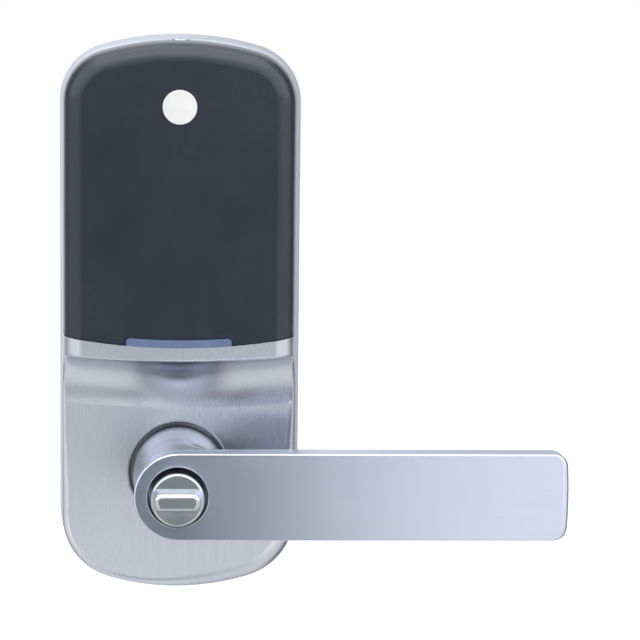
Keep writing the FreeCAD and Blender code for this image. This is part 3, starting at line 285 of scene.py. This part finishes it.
# %% [markdown]
# A world has a node tree as a material has, only with a Background shader in place of the
# Principled one. So the room can be written with the same formulas, and the world's own class says
# only where its tree is.

# %% A world is a node tree like a material's
class Room(Finish):
    """The world's node tree, written like a material's."""

    def __init__(self, world):
        world.use_nodes = True
        self.tree = world.node_tree
        self.shader = self.tree.nodes["Background"]


# %% [markdown]
# What metal sees in one direction is a sum of parts, and each function below is one of them: the dark
# things in front, the ceiling, the walls' own level and the light from the sides. A painted panorama
# would do the same, but it would be a file to carry, and its edges couldn't be moved by a number.

# %% What metal sees in each direction
def dark_side(x, z):
    """Share of the light that is missing in front: the column and the patch beside it."""
    column = abs(x - COLUMN_MIDDLE).ramp(*COLUMN_SIDE) * z.ramp(*COLUMN_TOP) * COLUMN_DEPTH
    column = column * z.ramp(*COLUMN_FOOT)
    patch = abs(x).ramp(*PATCH_SIDE) * z.ramp(*PATCH_FOOT) * z.ramp(*PATCH_TOP) * PATCH_DEPTH
    return column, column.math("MAXIMUM", patch)


def ceiling_light(z, front, column):
    weaker = CEILING_END_SHARE + (1 - CEILING_END_SHARE) * z.ramp(*CEILING_END)
    over_front = z.ramp(*CEILING_EDGE) * weaker * front * (1 - column)
    over_back = z.ramp(*BACK_CEILING) * (1 - front) * BACK_CEILING_SHARE
    return (over_front + over_back) * CEILING


def wall_level(x, z, front, behind):
    """The room's own level where nothing dark stands, with its lighter and darker parts."""
    middle = front * abs(x).ramp(*NEAR_MIDDLE)
    table_edge = front * z.ramp(*TABLE_LOW) * z.ramp(*TABLE_HIGH) * TABLE_EDGE
    table_glow = middle * z.ramp(*GLOW_TOP) * z.ramp(*GLOW_FOOT) * TABLE_GLOW
    strip_glow = middle * abs(x).ramp(*STRIP_SIDE) * z.ramp(*STRIP_LOW) * z.ramp(*STRIP_HIGH)
    underside = z.ramp(*UNDERSIDE_EDGE) * UNDERSIDE
    return (ROOM_GLOSS + BACK_WALL * behind + table_edge + table_glow
            + STRIP_GLOW * strip_glow + underside)


def side_light(x, y, z, front, behind):
    back = behind * (x.ramp(*BACK_LEFT_EDGE) * BACK_LEFT + x.ramp(*BACK_RIGHT_EDGE) * BACK_RIGHT)
    right = front * x.ramp(*RIGHT_WALL_EDGE) * z.ramp(*RIGHT_WALL_RISE) * RIGHT_WALL
    corners = y.ramp(*CORNER_DEPTH) * abs(x).ramp(*CORNER_EDGE) * CORNERS
    return back + right + corners


# %% [markdown]
# The Light Path node says what kind of ray asks. Camera rays see plain white, so the background is
# white whatever lights the object, and so do rays that pass through something clear. Mirror rays see
# the room as laid out above. All others see one even level.

# %% Build the world
def make_room():
    world = bpy.data.worlds.new("white_room")
    bpy.context.scene.world = world
    room = Room(world)
    direction = room.add("TexCoord", output="Generated")
    x, y, z = (room.add("SeparateXYZ", None, {0: direction}, letter) for letter in "XYZ")
    front, behind = y.ramp(*IN_FRONT), y.ramp(*BEHIND)
    column, missing = dark_side(x, z)
    missing = front * missing
    gloss = ((1 - missing) * wall_level(x, z, front, behind)
             + ceiling_light(z, front, column) + side_light(x, y, z, front, behind))
    seen = room.add("LightPath", output="Is Camera Ray")
    through = room.add("LightPath", output="Is Transmission Ray")
    mirrored = room.add("LightPath", output="Is Glossy Ray")
    white = seen.math("MAXIMUM", through)
    strength = (1 - white) * (mirrored * gloss + (1 - mirrored) * ROOM_DIFFUSE) + white
    only_mirrored = mirrored * (1 - white)
    cool = behind.math("MAXIMUM", z.ramp(*CEILING_EDGE)) * only_mirrored
    walls = room.mixed(cool, (1.0, 1.0, 1.0), COOL_TINT)
    room.feed(room.shader.inputs["Color"], room.mixed(missing * only_mirrored, walls, DARK_TINT))
    room.feed(room.shader.inputs["Strength"], strength)
    print("the room takes", len(room.tree.nodes), "nodes")


make_room()

# %% [markdown]
# One wide lamp hangs above and a little in front. It is weak: the room does most of the work, and the
# lamp only gives the upper faces a direction and the recesses a shadow. A square of nearly a metre is
# large beside the lock, so its shadows have no hard edge.

# %% Hang one large soft light overhead
SOFTBOX_SIZE = 0.9
SOFTBOX_HEIGHT = 0.85
SOFTBOX_FORWARD = 0.25
SOFTBOX_WATTS = 3.5
SOFTBOX_AIM = Vector((0.0, 0.0, 0.05))


def hang_softbox():
    lamp = bpy.data.lights.new("overhead_softbox", "AREA")
    lamp.shape = "SQUARE"
    lamp.size = SOFTBOX_SIZE
    lamp.energy = SOFTBOX_WATTS
    holder = bpy.data.objects.new("overhead_softbox", lamp)
    holder.location = (0.0, -SOFTBOX_FORWARD, SOFTBOX_HEIGHT)
    aim = SOFTBOX_AIM - Vector(holder.location)
    holder.rotation_mode = "QUATERNION"
    holder.rotation_quaternion = aim.to_track_quat("-Z", "Y")
    bpy.context.scene.collection.objects.link(holder)
    print("softbox at", [round(c, 3) for c in holder.location])


hang_softbox()

# %% [markdown]
# The floor is a wide sheet well below the lock, which hangs on its door and never touches it. Its
# own shading stays, so it takes a faint shadow, and a little light is added to what the camera sees
# of it, which brings the lit part up to the white of the room. It is left out of the metal's
# reflections, which show the even room instead.

# %% Lay the floor
FLOOR_BELOW = 0.16           # under the escutcheon's foot
FLOOR_HALF = 6.0
FLOOR_GLOW = 0.42
FLOOR_FIBRES = 400.0         # a metre


def lay_floor():
    level = cad_low.z - FLOOR_BELOW
    mesh = bpy.data.meshes.new("floor")
    sheet = bmesh.new()
    bmesh.ops.create_grid(sheet, x_segments=8, y_segments=8, size=FLOOR_HALF)
    sheet.to_mesh(mesh)
    sheet.free()
    floor = bpy.data.objects.new("floor", mesh)
    floor.location = (0.0, 0.0, level)
    bpy.context.scene.collection.objects.link(floor)
    finish = Finish("floor_paper", (0.9, 0.9, 0.9))
    finish.set(Roughness=0.9)
    fibres = finish.noise((FLOOR_FIBRES,) * 3, detail=2.0)
    finish.set(**{"Base Color": finish.mixed(fibres, (0.89, 0.89, 0.89), (0.91, 0.91, 0.91))})
    seen = finish.add("LightPath", output="Is Camera Ray")
    glow = finish.add("Emission", None, {"Color": (1.0, 1.0, 1.0, 1.0), "Strength": seen * FLOOR_GLOW})
    both = finish.add("AddShader", None, {0: Signal(finish, finish.shader.outputs[0]), 1: glow})
    finish.feed(finish.tree.nodes["Material Output"].inputs["Surface"], both)
    mesh.materials.append(finish.material)
    floor.visible_glossy = False
    print("floor at height", round(level, 4))


lay_floor()

# %% [markdown]
# ## Brushed and plated metal
#
# The casting and the lever are satin finished: a belt drags fine abrasive along the metal and leaves
# grooves a tenth of a millimetre wide and centimetres long. The grooves spread light across
# themselves and hardly at all along themselves. Two things together give that: the shader's own
# anisotropy, which does the invisible part, and noise stretched along the grooves, which gives the
# few lines that the eye can make out. Pure anisotropy looks like plastic film, and noise alone
# flickers.

# %% Brushed satin metal
GROOVES, GROOVE_RUN = 9000.0, 60.0       # features a metre, across the grain and along it
BANDS, BAND_RUN = 1500.0, 12.0           # wider streaks, where the belt was pressed harder
CLOUDS = 28.0                            # wear and handling, the same in each direction
TONE_SWING = 0.035
GROOVE_DEPTH = 0.000004


def along_grain(grain, across, run):
    return tuple(run if axis == grain else across for axis in "XYZ")


def brushed(name, colour, grain, roughness, anisotropy, turned):
    """Satin metal whose grooves run along one axis of the frame."""
    finish = Finish(name, colour)
    finish.set(Metallic=1.0, Anisotropic=anisotropy)
    finish.set(**{"Anisotropic Rotation": turned})
    grooves = finish.noise(along_grain(grain, GROOVES, GROOVE_RUN), detail=2.0)
    bands = finish.noise(along_grain(grain, BANDS, BAND_RUN), detail=2.0)
    clouds = finish.noise((CLOUDS,) * 3, detail=2.0)
    tone = (0.45 * grooves + 0.3 * bands + 0.25 * clouds).ramp(0.3, 0.7)
    base = finish.mixed(tone, shade(colour, 1 - TONE_SWING), shade(colour, 1 + TONE_SWING))
    rough = roughness + 0.04 * (grooves - 0.5) + 0.04 * (clouds - 0.5)
    normal = finish.bump(grooves + 0.5 * bands, GROOVE_DEPTH, 0.3)
    return finish.set(**{"Base Color": base, "Roughness": rough, "Normal": normal})


apply(brushed("brushed_casting", (0.605, 0.63, 0.69), "Z", 0.27, 0.75, 0.0), "escutcheon_body")

# %% [markdown]
# The lever is one casting with two finishes. Its arm is brushed along its length on a belt, and its
# neck is turned on a lathe, so the neck's fine rings run round the lever's axis and it is glossier.
# The neck's colour is also much darker than the arm's. That is painted shade, for the dark gap and
# plate that its upper side reflects. A Mix Shader changes from one to the other just behind the arm,
# where the real lever has the edge of the belt's reach.

# %% Brushed arm and turned neck
ARM_BACK = -0.055            # y of the arm's back
NECK_EDGE = (0.0012, 0.0002)
NECK_RINGS, NECK_RING_RUN = 3800.0, 25.0
# painted shade: the neck is the same metal as the arm, and its colours are darkened to stand in for
# the dark that it reflects
NECK_SHADED_DARK, NECK_SHADED_LIGHT = (0.245, 0.258, 0.285), (0.285, 0.30, 0.33)


def lever_finish():
    """The arm is brushed along its length and the neck is turned, so two shaders share the lever."""
    finish = brushed("brushed_lever", (0.575, 0.62, 0.72), "X", 0.25, 0.85, 0.25)
    neck = finish.tree.nodes.new("ShaderNodeBsdfPrincipled")
    neck.inputs["Metallic"].default_value = 1.0
    rings = finish.noise((NECK_RING_RUN, NECK_RINGS, NECK_RING_RUN), detail=2.0)
    # the neck's ring tone, between the two darkened colours of painted shade
    tone = finish.mixed(rings.ramp(0.35, 0.65), NECK_SHADED_DARK, NECK_SHADED_LIGHT)
    finish.feed(neck.inputs["Base Color"], tone)
    finish.feed(neck.inputs["Roughness"], 0.18 + 0.06 * (rings - 0.5))
    finish.feed(neck.inputs["Normal"], finish.bump(rings, 0.000008, 0.4))
    share = finish.axis("Y").ramp(*(ARM_BACK + edge for edge in NECK_EDGE))
    both = finish.add("MixShader", None, {
        0: share, 1: Signal(finish, neck.outputs[0]), 2: Signal(finish, finish.shader.outputs[0])})
    finish.feed(finish.tree.nodes["Material Output"].inputs["Surface"], both)
    return finish


apply(lever_finish(), "lever_handle")

# %% [markdown]
# The turn button is buffed to a mirror and plated. What breaks a mirror up is a wiping cloth's long
# faint scratches and the haze of hands, so the roughness varies with both and the colour with the
# haze. A clean mirror would need only one number, and would look like a drawing of chrome.

# %% Polished metal
WIPE = (900.0, 260.0, 900.0)     # scratches a metre, along X, Y and Z
HAZE = 120.0


def polished(name, colour, roughness):
    finish = Finish(name, colour).set(Metallic=1.0)
    wipe = finish.noise(WIPE)
    haze = finish.noise((HAZE,) * 3)
    rough = roughness + 0.10 * (haze - 0.45).math("MAXIMUM", 0.0) + 0.03 * wipe
    base = finish.mixed(haze.ramp(0.35, 0.7), shade(colour, 0.96), shade(colour, 1.04))
    normal = finish.bump(wipe, 0.000006, 0.35)
    return finish.set(**{"Base Color": base, "Roughness": rough, "Normal": normal})


apply(polished("polished_button", (0.50, 0.53, 0.54), 0.19), "turn_button")

# %% [markdown]
# Stampings, screws and springs are plated in a barrel, and the plating grows as fine crystals with a
# faint colour that drifts from place to place. One function covers all of them: dull zinc, brighter
# nickel, and the thin black of an oxide are the same two noises with other numbers.

# %% Plated metal
DRIFT = 60.0


def plated(name, colour, tint, roughness=0.32, grain=1500.0):
    """Zinc or nickel on a stamping: fine crystals, with a faint colour that drifts."""
    finish = Finish(name, colour).set(Metallic=1.0)
    crystals = finish.noise((grain,) * 3, detail=4.0)
    drift = finish.noise((DRIFT,) * 3, detail=2.0)
    base = finish.mixed(drift.ramp(0.3, 0.7), colour, tint)
    rough = roughness + 0.16 * (crystals - 0.5) + 0.06 * (drift - 0.5)
    normal = finish.bump(crystals, 0.00001, 0.4)
    return finish.set(**{"Base Color": base, "Roughness": rough, "Normal": normal})


# %% [markdown]
# Each metal piece is then one call: its colour, the colour it drifts to, how rough it is and how fine
# its crystals are. The pressed plate and the spring's cage and cam are dull zinc, the fasteners and
# shafts are brighter, the bushing is dark, and the contacts are warm nickel because they carry
# current. They could share one finish, but then the opened lock would look cast in one piece.

# %% Plate the inner metal pieces
apply(plated("zinc_plate", (0.62, 0.63, 0.60), (0.58, 0.60, 0.64)),
      "mounting_plate", "spring_cage", "spring_cam")
apply(plated("bushing_steel", (0.20, 0.19, 0.19), (0.25, 0.25, 0.26), 0.24, 2200.0),
      "lever_bushing")
apply(plated("shaft_steel", (0.50, 0.50, 0.49), (0.46, 0.47, 0.49), 0.25, 2500.0),
      "lever_spindle", "turn_shaft", "turn_clip")
apply(plated("screw_steel", (0.57, 0.57, 0.55), (0.52, 0.53, 0.55), 0.26, 3000.0),
      "body_screws", "cage_screws", "board_screws", "tray_screws", "cover_screw")
apply(plated("black_oxide", (0.05, 0.05, 0.055), (0.07, 0.06, 0.05), 0.38, 3000.0),
      "lever_set_screw")
apply(plated("spring_wire", (0.42, 0.41, 0.38), (0.36, 0.37, 0.40), 0.28, 4000.0), "return_spring")
apply(plated("contact_nickel", (0.66, 0.63, 0.57), (0.60, 0.60, 0.58), 0.2, 3500.0),
      "battery_springs", "contact_plates", "socket_pins")
apply(plated("capacitor_can", (0.68, 0.68, 0.68), (0.62, 0.63, 0.66), 0.24, 2600.0), "capacitors")

# %% [markdown]
# ## Moulded plastic
#
# The cover is moulded in a spark-eroded tool, whose pits leave a fine matt grain on the part. At this
# distance it shows as a slight softness of every reflection, with wide faint patches where hands have
# polished it. The inner mouldings are plainer, and each has its own gloss.

# %% Textured and plain mouldings
RUBBED = 45.0                    # patches a metre
FLOW = (260.0, 260.0, 20.0)      # the plastic's flow lines run up and down


def moulded(name, colour, roughness, grain, depth=0.000012, patches=0.05, specular=0.5):
    finish = Finish(name, colour).set(**{"Specular IOR Level": specular})
    pits = finish.noise((grain,) * 3, roughness=0.6)
    rubbed = finish.noise((RUBBED,) * 3)
    flow = finish.noise(FLOW, detail=2.0)
    tone = (0.5 * rubbed + 0.3 * flow + 0.2 * pits).ramp(0.3, 0.7)
    base = finish.mixed(tone, shade(colour, 0.9), shade(colour, 1.1))
    rough = roughness + patches * (rubbed - 0.5) * 2 + 0.04 * (pits - 0.5)
    normal = finish.bump(pits, depth, 0.5)
    return finish.set(**{"Base Color": base, "Roughness": rough, "Normal": normal})


# %% [markdown]
# The cover is a blue-black satin that still mirrors the room, and most of what is seen of it is that
# reflection. The badge is bare enamel and the small window in front of the status light is clear
# plastic with a dark blue body, so both are smooth and have hardly any grain. Inside, each plastic
# differs from its neighbours in tone or gloss, which is how they are told apart once opened.

# %% Mould the cover and the inner pieces
apply(moulded("cover_plastic", (0.0180, 0.0230, 0.0390), 0.26, 7000.0), "battery_cover")
apply(moulded("tray_plastic", (0.03, 0.03, 0.032), 0.5, 4000.0), "battery_tray")
apply(moulded("socket_plastic", (0.78, 0.76, 0.70), 0.4, 5000.0), "harness_socket", "battery_socket",
      "battery_plug")
apply(moulded("module_plastic", (0.045, 0.046, 0.05), 0.45, 5000.0), "radio_module")
apply(moulded("black_nylon", (0.022, 0.022, 0.024), 0.48, 4500.0), "module_header", "buzzer",
      "reset_switch")
apply(moulded("button_plastic", (0.55, 0.06, 0.05), 0.36, 5000.0), "reset_button")
apply(moulded("chip_epoxy", (0.02, 0.02, 0.022), 0.6, 9000.0), "board_chips")
apply(moulded("led_resin", (0.82, 0.80, 0.62), 0.25, 2000.0), "status_led")
apply(moulded("lead_red", (0.48, 0.02, 0.02), 0.35, 3000.0), "battery_lead_red")
apply(moulded("lead_black", (0.016, 0.016, 0.018), 0.35, 3000.0), "battery_lead_black")
apply(moulded("badge_enamel", (0.96, 0.96, 0.95), 0.16, 1200.0, 0.000003, 0.02), "cover_badge")
apply(moulded("light_window", (0.15, 0.205, 0.36), 0.3, 2500.0, 0.000005), "status_light_window")

# %% [markdown]
# ## The cells
#
# Each cell is a steel can in a shrunk printed sleeve, and its bare ends show at the contacts. The
# sleeve could be a separate thin tube, but it is a twentieth of a millimetre thick, so a change of
# finish along the can does the same. Two cells stand on their heads, as the contacts need, so the
# finish is made once for each way up. The sleeve's print is a plain two-colour band.

# %% Sleeve and bare ends in one finish
NUB = 0.0013
SLEEVE_EDGE = 0.0011         # bare steel left at either end of the can
BAND_SHARE = 0.26            # of the can's length, at the nub's end
LINE_OFF, LINE_HALF = 0.0016, 0.0004     # thin pale line below the band
PRINT_EDGE = 0.00006         # how sharp the print is
WRAP_BLACK, WRAP_BAND, WRAP_LINE = (0.03, 0.032, 0.036), (0.05, 0.22, 0.27), (0.55, 0.56, 0.56)
BARE_STEEL = (0.62, 0.61, 0.58)


def printed_wrap(finish, z, band_edge, sign, speck):
    """The sleeve's print: black, a band at the nub's end and a thin line below it."""
    banded = ((z - band_edge) * sign).ramp(-PRINT_EDGE, PRINT_EDGE)
    off_line = abs(z - (band_edge - sign * LINE_OFF))
    line = off_line.ramp(LINE_HALF + PRINT_EDGE, LINE_HALF - PRINT_EDGE)
    wrap = finish.mixed(banded, WRAP_BLACK, WRAP_BAND)
    wrap = finish.mixed(line, wrap, WRAP_LINE)
    return finish.mixed(speck.ramp(0.55, 0.75) * 0.15, wrap, (0.2, 0.2, 0.2))


def cell_finish(name, upright):
    low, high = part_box("battery_1" if upright else "battery_2")
    can_low, can_high = (low.z, high.z - NUB) if upright else (low.z + NUB, high.z)
    band = BAND_SHARE * (can_high - can_low)
    band_edge = can_high - band if upright else can_low + band
    finish = Finish(name, WRAP_BLACK)
    z = finish.axis("Z")
    above = (z - (can_low + SLEEVE_EDGE)).ramp(-PRINT_EDGE, PRINT_EDGE)
    sleeve = above * ((can_high - SLEEVE_EDGE) - z).ramp(-PRINT_EDGE, PRINT_EDGE)
    speck = finish.noise((900.0,) * 3)
    ripple = finish.noise((60.0, 60.0, 700.0), detail=2.0)
    wrap = printed_wrap(finish, z, band_edge, 1 if upright else -1, speck)
    return finish.set(**{
        "Base Color": finish.mixed(sleeve, BARE_STEEL, wrap), "Metallic": 1 - 0.85 * sleeve,
        "Roughness": 0.24 + 0.12 * (speck - 0.5) + 0.05 * sleeve,
        "Normal": finish.bump(ripple, 0.00004, 0.3)})


apply(cell_finish("cell_nub_up", True), "battery_1", "battery_3")
apply(cell_finish("cell_nub_down", False), "battery_2", "battery_4")

# %% [markdown]
# ## The circuit board
#
# A board's solder mask is a thin gloss over copper tracks, and the tracks show through it as slightly
# lighter lines with a step in height. Real tracks run straight and turn at half right angles. Cells of
# a Voronoi pattern measured along X and Z have borders of about that kind, and they cost nothing as
# geometry. Bare tinned pads are the cells' centres, in some of the cells only.

# %% Solder mask, tracks and pads
TRACK_CELLS = 330.0          # pattern cells a metre
PATCHWORK = 140.0            # which parts of the board have tracks and pads
WEAVE = 2600.0
MASK, MASK_OVER_TRACK, MASK_WEAVE = (0.014, 0.095, 0.042), (0.026, 0.16, 0.07), (0.02, 0.12, 0.06)
TIN = (0.66, 0.65, 0.62)


def board_finish():
    finish = Finish("board_laminate", MASK)
    flat = {"Vector": finish.stretched((1.0, 0.0, 1.0)), "Scale": TRACK_CELLS}
    cells = {"voronoi_dimensions": "3D", "distance": "MANHATTAN"}
    near = finish.add("TexVoronoi", cells, flat)
    second = finish.add("TexVoronoi", dict(cells, feature="F2"), flat)
    patchwork = finish.noise((PATCHWORK,) * 3, detail=1.0)
    tracks = (second - near).ramp(0.16, 0.08) * patchwork.ramp(0.38, 0.46)
    pads = near.ramp(0.16, 0.13) * patchwork.ramp(0.56, 0.6)
    weave = finish.noise((WEAVE,) * 3, detail=2.0)
    mask = finish.mixed(tracks, MASK, MASK_OVER_TRACK)
    mask = finish.mixed(weave.ramp(0.4, 0.7) * 0.25, mask, MASK_WEAVE)
    return finish.set(**{
        "Base Color": finish.mixed(pads, mask, TIN), "Metallic": pads,
        "Roughness": 0.3 + 0.08 * (weave - 0.5) - 0.05 * pads,
        "Normal": finish.bump(tracks + pads, 0.00004, 0.6)})


apply(board_finish(), "circuit_board")

# %% [markdown]
# ## Foam and rubber
#
# Two pieces are soft: the foam strip inside the cover, which presses on the cells, and the gasket
# between the escutcheon and the door. In the CAD model they are plain hard solids, so here each one is
# a mesh of its own that takes the solid's place. Starting from a copy of the solid keeps it in the
# right space. A voxel remesh gives the copy an even skin that can be rounded and pressed in, which a
# CAD mesh with its long thin triangles can't be.

# %% Turn a hard solid into an even, soft-edged skin
def softened(name, node, voxel, rounds):
    """A new piece in a node's place, remeshed and smoothed, with its modifiers applied."""
    draft = bpy.data.objects.new(name + "_draft", nodes[node].data.copy())
    bpy.context.scene.collection.objects.link(draft)
    remesh = draft.modifiers.new("skin", "REMESH")
    remesh.mode, remesh.voxel_size = "VOXEL", voxel
    remesh.use_smooth_shade = True
    smooth = draft.modifiers.new("rounding", "SMOOTH")
    smooth.factor, smooth.iterations = 0.5, rounds
    graph = bpy.context.evaluated_depsgraph_get()
    mesh = bpy.data.meshes.new_from_object(draft.evaluated_get(graph))
    bpy.data.objects.remove(draft)
    mesh.name = name
    mesh.materials.clear()
    piece = bpy.data.objects.new(name, mesh)
    bpy.context.scene.collection.objects.link(piece)
    print(name, "has", len(mesh.polygons), "faces")
    return piece


# %% [markdown]
# The foam sits between the cover's inside and the four cells, so its back carries their shape as
# shallow round dents. They could be cut with cylinders, but foam yields gradually, so each vertex is
# moved by a cosine of its distance from the nearest cell's middle, and the front stays flat. An open
# cell foam is most of all rough: a deep bump and hardly any gloss.

# %% Foam strip that holds the cells
FOAM_VOXEL = 0.0007
FOAM_DENT = 0.0005
FOAM_REACH = 0.0045          # half the width of one dent


def cell_centres():
    return [sum((corner.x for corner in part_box("battery_%d" % number)), 0.0) / 2
            for number in (1, 2, 3, 4)]


def press_cells_into(piece):
    """Push the foam's back away from each cell, in a shallow round-bottomed dent."""
    low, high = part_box("battery_hold_pad")
    centres = cell_centres()
    for vertex in piece.data.vertices:
        depth = (vertex.co.y - low.y) / (high.y - low.y)
        for centre in centres:
            off = abs(vertex.co.x - centre) / FOAM_REACH
            if off < 1 and depth > 0.5:
                vertex.co.y -= FOAM_DENT * math.cos(off * math.pi / 2) * (depth - 0.5) * 2


foam = softened("hold_foam_strip", "battery_hold_pad", FOAM_VOXEL, 3)
press_cells_into(foam)
foam_finish = moulded("open_cell_foam", (0.045, 0.045, 0.05), 0.92, 1500.0, 0.00025, specular=0.2)
foam.data.materials.append(foam_finish.material)
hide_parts("battery_hold_pad")
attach(foam, "cover")

# %% [markdown]
# The gasket is a thin rubber frame behind the escutcheon. Only its outer edge can be seen, and what
# tells rubber from plastic there is a rounded edge and a dull, slightly dusty black, so it is
# smoothed less than the foam and given a low gloss.

# %% Rubber gasket against the door
GASKET_VOXEL = 0.00045

gasket = softened("gasket_lip", "door_gasket", GASKET_VOXEL, 2)
rubber = moulded("gasket_rubber", (0.028, 0.028, 0.03), 0.68, 3000.0, 0.00003, specular=0.4)
gasket.data.materials.append(rubber.material)
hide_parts("door_gasket")
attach(gasket, "escutcheon")
